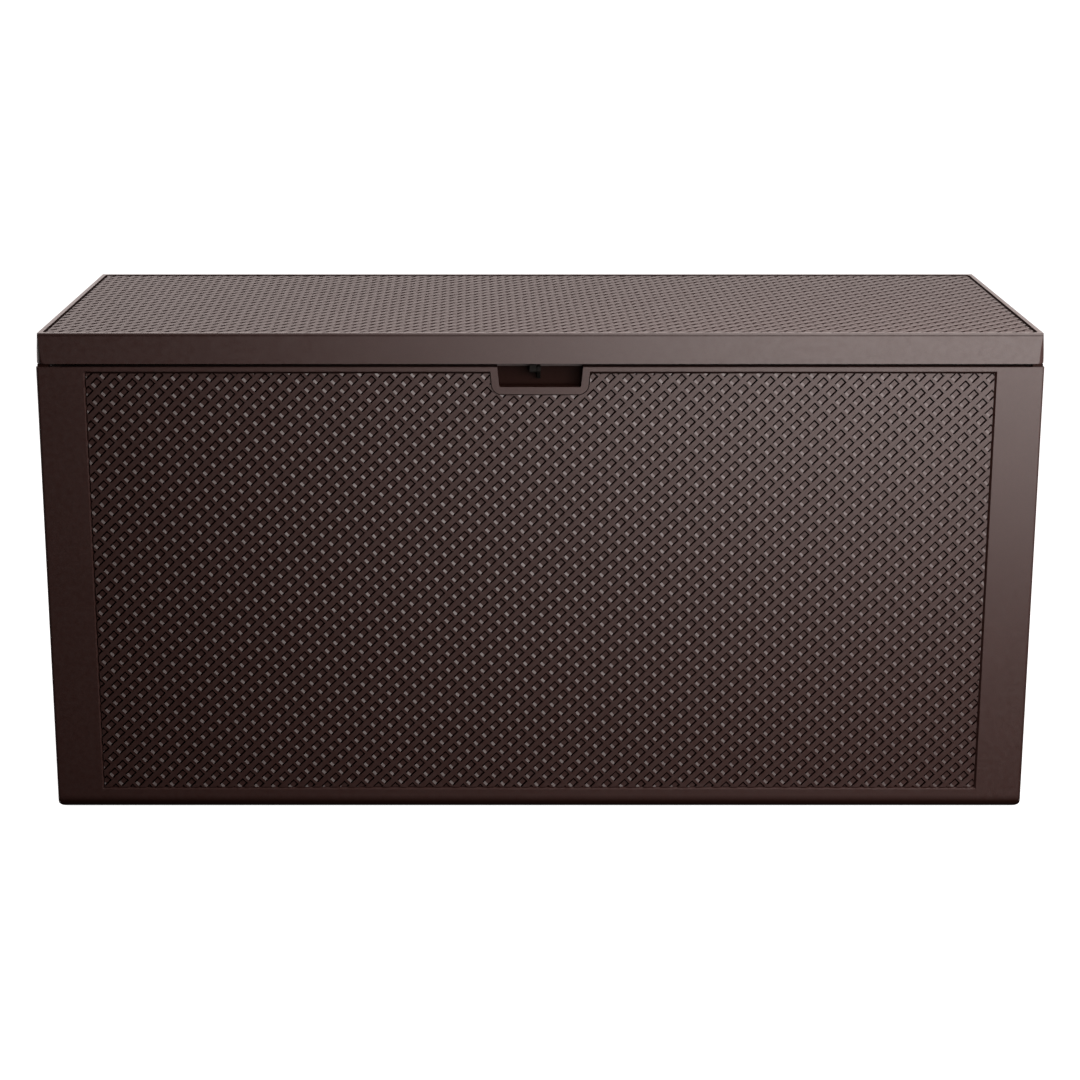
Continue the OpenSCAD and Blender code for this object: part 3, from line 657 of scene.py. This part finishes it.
def weave_all():
    z0, z1 = BOTTOM_RAIL + SEAM, rim_z - TOP_RAIL - SEAM
    middle_z = (z0 + z1) / 2
    half_z = (z1 - z0) / 2
    half_x = side_x - STILE - SEAM
    side_y0, side_y1 = front_y + STILE + SEAM, back_y - STILE - SEAM
    middle_y = (side_y0 + side_y1) / 2

    front = Face((0, front_y, middle_z), (1, 0, 0), (0, 0, 1), (half_x, half_z))
    weave("front_weave", "box", front, FRONT_PHASE, [notch_outline(rim_z - middle_z)])

    back = Face((0, back_y, middle_z), (-1, 0, 0), (0, 0, 1), (half_x, half_z))
    pads = []
    for node in ("hinge_wall_leaf_left", "hinge_wall_leaf_centre", "hinge_wall_leaf_right"):
        a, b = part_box(node)
        x = -(a.x + b.x) / 2
        half = ((b.x - a.x) / 2 + PAD_MARGIN + WINDOW_SEAM, PAD_HALF_HEIGHT + WINDOW_SEAM)
        centre = (x, rim_z - PAD_MIDDLE_DROP - middle_z)
        pads.append(round_rectangle(centre, half, PAD_ROUND + WINDOW_SEAM))
    weave("back_weave", "box", back, BACK_PHASE, pads)

    grip_low, grip_high = next(
        row["box_m"] for row in frame["record"]["physics"]["openings"] if row["name"] == "side_grip_left"
    )
    grip_z = (grip_low[2] + grip_high[2]) / 2 - middle_z
    grip_half = (GRIP_HALF[0] + WINDOW_SEAM, GRIP_HALF[1] + WINDOW_SEAM)
    grip = round_rectangle((0, grip_z), grip_half, GRIP_ROUND + WINDOW_SEAM)
    for name, x, right in (("left_weave", -side_x, (0, -1, 0)), ("right_weave", side_x, (0, 1, 0))):
        side = Face((x, middle_y, middle_z), right, (0, 0, 1), ((side_y1 - side_y0) / 2, half_z))
        weave(name, "box", side, SIDE_PHASE, [grip])

    inset = LID_RIM + LID_SEAM
    top = Face((0, 0, lid_high.z), (-1, 0, 0), (0, -1, 0), (lid_high.x - inset, lid_high.y - inset))
    weave("lid_weave", "lid", top, LID_PHASE, (), WORN_WOVEN, LID_SINK_SCALE, LID_WEAVE_THICK)


# ---------------------------------------------------------------- studio


def emitter(name, colour, glow):
    """A plain surface that also glows by itself."""
    s = Shader(name)
    s.set(Roughness=1.0, Specular_IOR_Level=0.0, Emission_Strength=1.0)
    s.colour(colour)
    s.principled.inputs["Emission Color"].default_value = (*glow, 1.0)
    return s.material


# The floor reaches a little past the backdrop, and lies just below the feet
FLOOR_RADIUS = 60.0
FLOOR_DROP = 0.5 * MM
BACKDROP_RADIUS = 59.0


def stage_piece(name, bm, material):
    """Makes a piece of the studio from a bmesh."""
    mesh = bpy.data.meshes.new(name)
    bm.to_mesh(mesh)
    bm.free()
    mesh.materials.append(material)
    piece = bpy.data.objects.new(name, mesh)
    bpy.context.scene.collection.objects.link(piece)
    return piece


def disc(name, radius, material):
    bm = bmesh.new()
    bmesh.ops.create_circle(bm, cap_ends=True, radius=radius, segments=96)
    return stage_piece(name, bm, material)


def dome(name, radius, material):
    bm = bmesh.new()
    bmesh.ops.create_uvsphere(bm, u_segments=48, v_segments=24, radius=radius)
    return stage_piece(name, bm, material)


def studio():
    """A pale floor and backdrop that only the camera sees. The lamps and the sky alone shade the box."""
    pale = emitter("pale_floor", colour=(0.2, 0.2, 0.2), glow=(0.96, 0.96, 0.96))
    white = emitter("pale_backdrop", colour=(0.0, 0.0, 0.0), glow=(1.0, 1.0, 1.0))
    floor = disc("floor", FLOOR_RADIUS, pale)
    floor.location.z = -FLOOR_DROP
    backdrop = dome("backdrop", BACKDROP_RADIUS, white)
    for ray in ("diffuse", "glossy", "transmission", "volume_scatter"):
        setattr(floor, f"visible_{ray}", False)
        setattr(backdrop, f"visible_{ray}", False)
    backdrop.visible_shadow = False


def softbox(name, place, target, size, power, colour):
    """A rectangular lamp at a place, turned towards a target."""
    data = bpy.data.lights.new(name, "AREA")
    data.shape = "RECTANGLE"
    data.size, data.size_y = size
    data.energy = power
    data.color = colour
    lamp = bpy.data.objects.new(name, data)
    lamp.location = place
    lamp.rotation_mode = "QUATERNION"
    lamp.rotation_quaternion = (Vector(target) - Vector(place)).to_track_quat("-Z", "Y")
    lamp.visible_camera = False
    bpy.context.scene.collection.objects.link(lamp)


SKY_COLOUR = (1.0, 0.88, 0.85, 1.0)


def sky():
    """Even overhead light that fades towards the floor and is brighter behind the box."""
    world = bpy.data.worlds.new("studio")
    bpy.context.scene.world = world
    world.use_nodes = True
    tree = world.node_tree
    ray = tree.nodes.new("ShaderNodeTexCoord").outputs["Generated"]
    split = tree.nodes.new("ShaderNodeSeparateXYZ")
    tree.links.new(ray, split.inputs[0])
    height = map_range(tree, split.outputs["Z"], low=0.05, high=1.0, start=-0.1, end=0.3)
    behind = map_range(tree, split.outputs["Y"], low=0.08, high=2.6, start=-0.2, end=0.6)
    product = tree.nodes.new("ShaderNodeMath")
    product.operation = "MULTIPLY"
    tree.links.new(height, product.inputs[0])
    tree.links.new(behind, product.inputs[1])
    background = tree.nodes["Background"]
    tree.links.new(product.outputs[0], background.inputs["Strength"])
    background.inputs["Color"].default_value = SKY_COLOUR


def lights():
    softbox(
        "key",
        place=(0.556, -0.869, 0.832),
        target=(0.1, -0.2, 0.35),
        size=(1.37, 1.37),
        power=35,
        colour=(1.0, 0.965, 0.945),
    )
    softbox(
        "glint",
        place=(1.9, -2.6, 1.25),
        target=(0.0, -0.2, 0.3),
        size=(0.5, 0.5),
        power=20,
        colour=(1.0, 1.0, 1.0),
    )
    softbox(
        "rear_fill",
        place=(-2.0, 0.9, 0.9),
        target=(-0.5, 0.1, 0.3),
        size=(1.0, 1.0),
        power=40,
        colour=(1.0, 0.96, 0.94),
    )


# ---------------------------------------------------------------- camera


SENSOR_MM, LENS_MM = 36.0, 77.87
LENS_SHIFT = (0.019, -0.0343)
CAMERA_PLACE = (-0.024, -2.886, 1.066)
CAMERA_DOWN = 14.39
CLIP_END = 200.0


def camera():
    """The camera in front of the box, tilted down by CAMERA_DOWN degrees."""
    data = bpy.data.cameras.new("camera")
    data.sensor_width = SENSOR_MM
    data.lens = LENS_MM
    data.shift_x, data.shift_y = LENS_SHIFT
    data.clip_end = CLIP_END
    view = bpy.data.objects.new("camera", data)
    view.location = CAMERA_PLACE
    view.rotation_euler = (math.radians(90 - CAMERA_DOWN), 0, 0)
    bpy.context.scene.collection.objects.link(view)
    bpy.context.scene.camera = view


dress_cad_pieces()
weave_all()
studio()
sky()
lights()
camera()
bpy.context.scene.view_settings.view_transform = "Standard"
